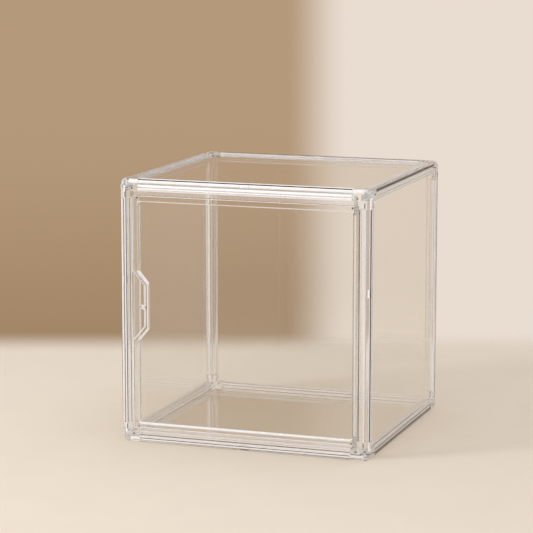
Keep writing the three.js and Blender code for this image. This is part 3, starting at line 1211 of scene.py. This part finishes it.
@dataclass
class FrontDoor:
    """The door with its raised rim, finger notch and pivot pins."""

    shop: Workshop
    material: bpy.types.Material
    pin_material: bpy.types.Material
    hinge: Vector
    rim: float = 5.3 * MM
    sheet: float = 2.0 * MM
    corner: float = 2.5 * MM
    mouth: float = 66 * MM
    flat: float = 39 * MM
    notch_depth: float = 11.4 * MM
    notch_rim: float = 4.2 * MM
    notch_corner: float = 3 * MM
    nub_reach: float = 3 * MM
    flare: float = 0.4 * MM
    fillet: float = 0.55 * MM
    fillet_from_degrees: float = 20
    dot_in: float = 5.6 * MM
    dot_down: float = 1.7 * MM
    dot_margin: float = 0.045 * MM
    dot_depths: tuple[float, float] = (0.03 * MM, 0.66 * MM)
    least_slope: float = 0.1
    notch_slant: float = 0.2
    downward: float = 0.9

    def outlines(self, flare: float = 0.0) -> tuple[Outline, Outline]:
        """Draws the door's outer outline, up to the hinge's axis, and the outline of its thin sheet.

        Args:
            flare: how much wider the sheet's outline is drawn all round.

        Returns:
            Points across and up the door.
        """
        low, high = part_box("door")
        left, bottom, top, axis = low.x, low.z, high.z, self.hinge.x
        floor = left + self.notch_depth
        rise, half = self.mouth / 2, self.flat / 2
        slope = (rise - half) / self.notch_depth
        c, n = self.corner, self.notch_corner
        outer = rounded_outline([
            (left, bottom, c), (axis, bottom, 0), (axis, top, 0), (left, top, c),
            (left, NOTCH_CENTRE + rise, n), (floor, NOTCH_CENTRE + half, n),
            (floor, NOTCH_CENTRE - half, n), (left, NOTCH_CENTRE - rise, n)], DOOR_ARC_STEPS)
        rim, notch_rim = self.rim - flare, self.notch_rim - flare
        inner, right = left + rim, high.x - rim
        bend = floor + notch_rim
        lift = rise + notch_rim * math.hypot(1, slope)
        bend_lift, stile_lift = lift - slope * (bend - left), lift - slope * rim
        window = rounded_outline([
            (inner, bottom + rim, c), (right, bottom + rim, c), (right, top - rim, c), (inner, top - rim, c),
            (inner, NOTCH_CENTRE + stile_lift, n), (bend, NOTCH_CENTRE + bend_lift, n),
            (bend, NOTCH_CENTRE - bend_lift, n), (inner, NOTCH_CENTRE - stile_lift, n)], DOOR_ARC_STEPS)
        return outer, window

    def leaf(self) -> bpy.types.Object:
        """Makes the door's leaf, with its round hinge stile and the nub of its catch.

        Returns:
            The leaf, without its holes.
        """
        shop = self.shop
        low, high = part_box("door")
        outer, window = self.outlines()
        thickness = high.y - low.y
        recess = (thickness - self.sheet) / 2
        mouth = self.outlines(self.flare * (recess + WELD) / recess)[1]
        leaf = shop.prism(outer, low.y, high.y, "xzy")
        stile = shop.rod(thickness / 2, (self.hinge.x, self.hinge.y, low.z), high.z - low.z, 2, STILE_SIDES)
        floor = low.x + self.notch_depth
        nub = shop.block((floor - self.nub_reach, low.y + recess, CATCH_CENTRE - CATCH_HEIGHT / 2),
                         (floor + WELD, high.y, CATCH_CENTRE + CATCH_HEIGHT / 2))
        shop.join(leaf, [
            (Joining.ADD, stile),
            (Joining.CUT, shop.prism(mouth, low.y - WELD, low.y + recess, "xzy", window)),
            (Joining.CUT, shop.prism(window, high.y - recess, high.y + WELD, "xzy")),
            (Joining.ADD, nub),
        ])
        return shop.soften(leaf, self.fillet, from_degrees=self.fillet_from_degrees)

    def dots(self) -> list[Step]:
        """Makes the cuts for the ejector marks at the door's corners.

        Returns:
            Four round cuts in the front face.
        """
        low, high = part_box("door")
        length = WELD + MARK_DEPTH
        return [(Joining.CUT, self.shop.rod(DOT_RADIUS, (x, low.y - WELD, z), length, 1, DOT_SIDES))
                for x in (low.x + self.dot_in, high.x - self.dot_in)
                for z in (low.z + self.dot_down, high.z - self.dot_down)]

    def pins(self) -> list[Step]:
        """Makes the pivot pins.

        Returns:
            The cuts for their holes in the door.
        """
        cuts = []
        for name in ("hinge_pin_bottom", "hinge_pin_top"):
            low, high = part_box(name)
            radius, length = (high.x - low.x) / 2, high.z - low.z
            start = (self.hinge.x, self.hinge.y, low.z)
            pin = self.shop.rod(radius, start, length, 2, PEG_SIDES, FILLET)
            self.shop.dress(self.shop.polish(pin), name, "door", "clear_pin", self.pin_material)
            hole = self.shop.rod(radius + PIN_HOLE_CLEARANCE, start, length, 2, PEG_SIDES)
            cuts.append((Joining.CUT, hole))
        return cuts

    def looks(self, spot: Vector, normal: Vector) -> Face:
        """Tells the dots, the rim's slopes and the notch's sides from the door's faces.

        Args:
            spot: the face's centre.
            normal: the face's normal.

        Returns:
            Its look.
        """
        low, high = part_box("door")
        from_side = min(spot.x - low.x, high.x - spot.x)
        from_end = min(spot.z - low.z, high.z - spot.z)
        from_dot = math.hypot(from_side - self.dot_in, from_end - self.dot_down)
        is_sunk = self.dot_depths[0] < spot.y - low.y < self.dot_depths[1]
        # The dots' floors carry painted shade.
        if from_dot < DOT_RADIUS + self.dot_margin and is_sunk:
            return Face.PAINTED_SHADE
        is_slope = self.least_slope < abs(normal.y) < FLAT and spot.x < self.hinge.x
        is_notch = (abs(spot.z - NOTCH_CENTRE) < self.mouth / 2
                    and low.x + WELD < spot.x < low.x + self.notch_depth + self.notch_rim)
        # The notch's slopes that face downwards carry painted shade.
        if is_notch and is_slope and normal.z < -self.notch_slant and normal.x < 0:
            return Face.PAINTED_SHADE
        # The left edge, the underside and the slopes that face the light carry a painted highlight.
        is_left_edge = spot.x - low.x < WELD and normal.y < -self.least_slope
        is_underside = spot.z - low.z < WELD and normal.z < -self.downward
        is_stile = abs(normal.z) < SLANTED and not is_notch
        is_lit = is_slope and not is_stile or is_notch and normal.z > SLANTED
        return Face.EDGE if is_left_edge or is_underside or is_lit else Face.CLEAR

    def build(self) -> None:
        """Makes the door and its pins."""
        door = self.leaf()
        self.shop.join(door, self.dots() + self.pins())
        self.shop.mark(door, self.looks)
        self.shop.dress(self.shop.polish(door), "door", "door", "clear_door", self.material)


@dataclass(frozen=True)
class Lamp:
    """A soft rectangular lamp that faces the box."""

    name: str
    at: tuple[float, float, float]
    size: tuple[float, float]
    watts: float
    colour: str
    is_mirrored: bool = True

    def hang(self) -> None:
        """Hangs the lamp in the studio."""
        data = bpy.data.lights.new(self.name, "AREA")
        data.shape = "RECTANGLE"
        data.size, data.size_y = self.size
        data.energy = self.watts
        data.color = linear(self.colour)[:3]
        made = add_object(self.name, data)
        made.visible_glossy = made.visible_transmission = self.is_mirrored
        made.location = self.at
        made.rotation_mode = "QUATERNION"
        middle = (CAD_BOX[0] + CAD_BOX[1]) / 2
        made.rotation_quaternion = (middle - Vector(self.at)).to_track_quat("-Z", "Y")


LAMPS = (
    Lamp("window", (-1.8, -1.5, 1.6), (0.5, 0.5), 34, "#fffdfa"),
    Lamp("overhead", (0.3, 0.0, 2.2), (1.4, 1.0), 9, "#fdfeff"),
    Lamp("fill", (0.4, -2.6, 0.6), (2.2, 1.0), 30, "#fdfdff", is_mirrored=False),
)


@dataclass
class Studio:
    """The floor, the backdrop, the lamps and the camera."""

    floor_colour: str = "#eadccb"
    shaded_wall: str = "#b5997b"
    lit_wall: str = "#e9dcd0"
    low_wall: str = "#a08465"
    mirrored_wall: str = "#d4c2ae"
    room_colour: str = "#fbfafc"
    light_colour: str = "#fdfdff"
    light_strength: float = 0.5
    eye: tuple[float, float, float] = (0.7039, -2.0509, 0.5262)
    yaw_degrees: float = -19.3855
    pitch_degrees: float = 9.7048
    lens_mm: float = 153.9
    sensor_mm: float = 36.0
    clip: tuple[float, float] = (0.05, 50)
    floor_radius: float = 3.0
    floor_sides: int = 96
    floor_grains_per_metre: float = 18.0
    floor_grain_detail: float = 5.0
    floor_grain_tone: tuple[float, float] = (0.97, 1.03)
    floor_roughness: float = 0.75
    floor_fade: tuple[float, float] = (0.7, 1.1)
    floor_far_fade: tuple[float, float] = (0.33, 0.46)
    mirrored_floor_shift: float = 0.55
    lit_wall_from: tuple[float, float] = (0.008, 0.036)
    low_wall_from: tuple[float, float] = (-0.1, -0.22)
    band_stretch: tuple[float, float, float] = (3.0, 3.0, 0.6)
    band_detail: float = 1.5
    band_roughness: float = 0.5
    band_range: tuple[float, float] = (0.38, 0.52)
    band_light: tuple[float, float] = (0.2, 1.35)
    sky_from: tuple[float, float] = (0.1, 0.4)
    aside_from: tuple[float, float] = (0.5, 0.3)

    def forward(self) -> Vector:
        """Returns the camera's viewing direction."""
        yaw, pitch = math.radians(self.yaw_degrees), math.radians(self.pitch_degrees)
        return Vector((math.sin(yaw) * math.cos(pitch), math.cos(yaw) * math.cos(pitch), -math.sin(pitch)))

    def right(self) -> Vector:
        """Returns the direction to the right of the view, level with the floor."""
        return self.forward().cross(Vector((0, 0, 1))).normalized()

    def level(self) -> Vector:
        """Returns the viewing direction, level with the floor."""
        return self.right().cross(Vector((0, 0, -1)))

    def camera(self) -> None:
        """Sets the camera at the photograph's viewing angle."""
        data = bpy.data.cameras.new("camera")
        data.lens = self.lens_mm
        data.sensor_width = self.sensor_mm
        data.clip_start, data.clip_end = self.clip
        made = add_object("camera", data)
        made.location = self.eye
        made.rotation_mode = "QUATERNION"
        made.rotation_quaternion = self.forward().to_track_quat("-Z", "Y")
        bpy.context.scene.camera = made

    def plaster(self) -> bpy.types.Material:
        """Builds the floor's material: matt, faintly mottled plaster that fades out into the backdrop.

        Returns:
            The material, opaque about the box.
        """
        made = empty_material("pale_plaster_floor")
        tree = made.node_tree
        place = add_node(tree, "ShaderNodeTexCoord").outputs["Object"]
        grain = add_node(tree, "ShaderNodeTexNoise", None, {
            "Vector": place, "Scale": self.floor_grains_per_metre, "Detail": self.floor_grain_detail})
        tone = add_node(tree, "ShaderNodeMapRange", None, {
            "Value": grain.outputs["Fac"], "To Min": self.floor_grain_tone[0],
            "To Max": self.floor_grain_tone[1]})
        colour = add_node(tree, "ShaderNodeVectorMath", {"operation": "SCALE"}, {
            0: linear(self.floor_colour)[:3], "Scale": tone.outputs["Result"]})
        plaster = add_node(tree, "ShaderNodeBsdfPrincipled", None, {
            "Base Color": colour.outputs["Vector"], "Roughness": self.floor_roughness})
        away = add_node(tree, "ShaderNodeVectorMath", {"operation": "LENGTH"}, {0: place})
        turned = add_node(tree, "ShaderNodeMath", {"operation": "GREATER_THAN"}, {
            0: add_node(tree, "ShaderNodeLightPath").outputs["Glossy Depth"], 1: ANY_BOUNCE})
        shifted = add_node(tree, "ShaderNodeMath", {"operation": "MULTIPLY_ADD"}, {
            0: turned.outputs["Value"], 1: self.mirrored_floor_shift, 2: away.outputs["Value"]})
        behind = add_node(tree, "ShaderNodeVectorMath", {"operation": "DOT_PRODUCT"}, {
            0: place, 1: tuple(self.level())})
        far = add_node(tree, "ShaderNodeMapRange", SMOOTH_STEP, {
            "Value": behind.outputs["Value"], "From Min": self.floor_far_fade[0],
            "From Max": self.floor_far_fade[1]})
        round_off = add_node(tree, "ShaderNodeMapRange", SMOOTH_STEP, {
            "Value": shifted.outputs["Value"], "From Min": self.floor_fade[0],
            "From Max": self.floor_fade[1]})
        fade = add_node(tree, "ShaderNodeMath", {"operation": "MAXIMUM"}, {
            0: far.outputs["Result"], 1: round_off.outputs["Result"]})
        gone = add_node(tree, "ShaderNodeBsdfTransparent")
        surface = add_node(tree, "ShaderNodeMixShader", None, {
            0: fade.outputs["Value"], 1: plaster.outputs["BSDF"], 2: gone.outputs["BSDF"]})
        add_node(tree, "ShaderNodeOutputMaterial", None, {"Surface": surface.outputs["Shader"]})
        return made

    def floor(self) -> None:
        """Lays a pale round floor."""
        shape = bmesh.new()
        bmesh.ops.create_circle(shape, cap_ends=True, radius=self.floor_radius, segments=self.floor_sides)
        mesh = bpy.data.meshes.new("floor")
        shape.to_mesh(mesh)
        shape.free()
        mesh.materials.append(self.plaster())
        add_object("floor", mesh)

    def wall(self, tree: bpy.types.NodeTree, direction: bpy.types.NodeSocket, height: bpy.types.NodeSocket,
             turned: bpy.types.NodeSocket) -> bpy.types.NodeSocket:
        """Paints the backdrop: shaded at the left, lit at the right, a little darker low down.

        Args:
            tree: the world's tree.
            direction: the direction that a ray looks in.
            height: how steeply it looks up.
            turned: 1 for rays that a glossy face sent off.

        Returns:
            The backdrop's light.
        """
        across = add_node(tree, "ShaderNodeVectorMath", {"operation": "DOT_PRODUCT"}, {
            0: direction, 1: tuple(self.right())})
        lit = add_node(tree, "ShaderNodeMapRange", SMOOTH_STEP, {
            "Value": across.outputs["Value"], "From Min": self.lit_wall_from[0],
            "From Max": self.lit_wall_from[1]})
        depth = add_node(tree, "ShaderNodeMapRange", SMOOTH_STEP, {
            "Value": height, "From Min": self.low_wall_from[0], "From Max": self.low_wall_from[1]})
        shaded = add_node(tree, "ShaderNodeMix", COLOUR_MIX, {
            "Factor": depth.outputs["Result"], COLOUR_A: linear(self.shaded_wall),
            COLOUR_B: linear(self.low_wall)})
        bright_side = add_node(tree, "ShaderNodeMix", COLOUR_MIX, {
            "Factor": turned, COLOUR_A: linear(self.lit_wall), COLOUR_B: linear(self.mirrored_wall)})
        wall = add_node(tree, "ShaderNodeMix", COLOUR_MIX, {
            "Factor": lit.outputs["Result"], COLOUR_A: shaded.outputs[MIXED_COLOUR],
            COLOUR_B: bright_side.outputs[MIXED_COLOUR]})
        seen = add_node(tree, "ShaderNodeBackground", None, {
            "Color": wall.outputs[MIXED_COLOUR], "Strength": 1.0})
        return seen.outputs["Background"]

    def room(self, tree: bpy.types.NodeTree, direction: bpy.types.NodeSocket,
             height: bpy.types.NodeSocket) -> bpy.types.NodeSocket:
        """Paints the pale studio that glossy faces mirror: soft upright bands below a bright ceiling.

        Args:
            tree: the world's tree.
            direction: the direction that a ray looks in.
            height: how steeply it looks up.

        Returns:
            The room's light.
        """
        tall = add_node(tree, "ShaderNodeVectorMath", {"operation": "MULTIPLY"}, {
            0: direction, 1: self.band_stretch})
        cloud = add_node(tree, "ShaderNodeTexNoise", None, {
            "Vector": tall.outputs["Vector"], "Scale": 1.0, "Detail": self.band_detail,
            "Roughness": self.band_roughness})
        bands = add_node(tree, "ShaderNodeMapRange", SMOOTH_STEP, {
            "Value": cloud.outputs["Fac"], "From Min": self.band_range[0], "From Max": self.band_range[1],
            "To Min": self.band_light[0], "To Max": self.band_light[1]})
        glow = add_node(tree, "ShaderNodeMapRange", SMOOTH_STEP, {
            "Value": height, "From Min": self.sky_from[0], "From Max": self.sky_from[1],
            "To Min": bands.outputs["Result"], "To Max": self.band_light[1]})
        room = add_node(tree, "ShaderNodeBackground", None, {
            "Color": linear(self.room_colour), "Strength": glow.outputs["Result"]})
        return room.outputs["Background"]

    def world(self) -> None:
        """Sets the backdrop that the eye and the clear plastic see, and the even light of the room."""
        world = bpy.data.worlds.new("backdrop")
        bpy.context.scene.world = world
        world.use_nodes = True
        tree = world.node_tree
        tree.nodes.clear()
        direction = add_node(tree, "ShaderNodeTexCoord").outputs["Generated"]
        height = add_node(tree, "ShaderNodeSeparateXYZ", None, {"Vector": direction}).outputs["Z"]
        path = add_node(tree, "ShaderNodeLightPath").outputs
        turned = add_node(tree, "ShaderNodeMath", {"operation": "GREATER_THAN"}, {
            0: path["Glossy Depth"], 1: ANY_BOUNCE}).outputs["Value"]
        ahead = add_node(tree, "ShaderNodeVectorMath", {"operation": "DOT_PRODUCT"}, {
            0: direction, 1: tuple(self.level())})
        along = add_node(tree, "ShaderNodeMath", {"operation": "ABSOLUTE"}, {0: ahead.outputs["Value"]})
        aside = add_node(tree, "ShaderNodeMapRange", SMOOTH_STEP, {
            "Value": along.outputs["Value"], "From Min": self.aside_from[0], "From Max": self.aside_from[1],
            "To Max": turned})
        around = add_node(tree, "ShaderNodeMixShader", None, {
            0: aside.outputs["Result"], 1: self.wall(tree, direction, height, turned),
            2: self.room(tree, direction, height)})
        lighting = add_node(tree, "ShaderNodeBackground", None, {
            "Color": linear(self.light_colour), "Strength": self.light_strength})
        bright = add_node(tree, "ShaderNodeMath", {"operation": "MAXIMUM"}, {
            0: path["Is Camera Ray"], 1: path["Is Glossy Ray"]})
        shown = add_node(tree, "ShaderNodeMath", {"operation": "MAXIMUM"}, {
            0: bright.outputs["Value"], 1: path["Is Transmission Ray"]})
        surface = add_node(tree, "ShaderNodeMixShader", None, {
            0: shown.outputs["Value"], 1: lighting.outputs["Background"], 2: around.outputs["Shader"]})
        add_node(tree, "ShaderNodeOutputWorld", None, {"Surface": surface.outputs["Shader"]})

    def build(self) -> None:
        """Sets up the whole studio."""
        self.camera()
        self.floor()
        self.world()
        for lamp in LAMPS:
            lamp.hang()


@dataclass(frozen=True)
class LightPaths:
    """How far the renderer follows light through the many clear walls."""

    bounces: int = 32
    clear_layers: int = 48
    brightest_bounce: float = 3.0

    def apply(self) -> None:
        """Sets the scene's light paths and its plain colours."""
        scene = bpy.context.scene
        scene.view_settings.view_transform = "Standard"
        scene.cycles.max_bounces = self.bounces
        scene.cycles.transmission_bounces = self.bounces
        scene.cycles.transparent_max_bounces = self.clear_layers
        scene.cycles.sample_clamp_indirect = self.brightest_bounce
        scene.cycles.use_denoising = True


def main() -> None:
    """Builds the box and its studio."""
    logging.basicConfig(level=logging.INFO, format="%(message)s")
    LightPaths().apply()
    shop = Workshop()
    sizes = BoxSizes.from_frame()
    hinge = Vector(frame["joints"][0]["pos_m"])
    sheet = SHEET.material()
    EdgeBars(sizes, shop, MOULDING.material(), PAINTED_HIGHLIGHT_RAIL.material()).build()
    CornerConnectors(sizes, shop, CONNECTOR.material(), hinge).build()
    SheetPanels(sizes, shop, sheet).build()
    FrontDoor(shop, sheet, PIN.material(), hinge).build()
    Studio().build()


if __name__ == "__main__":
    main()
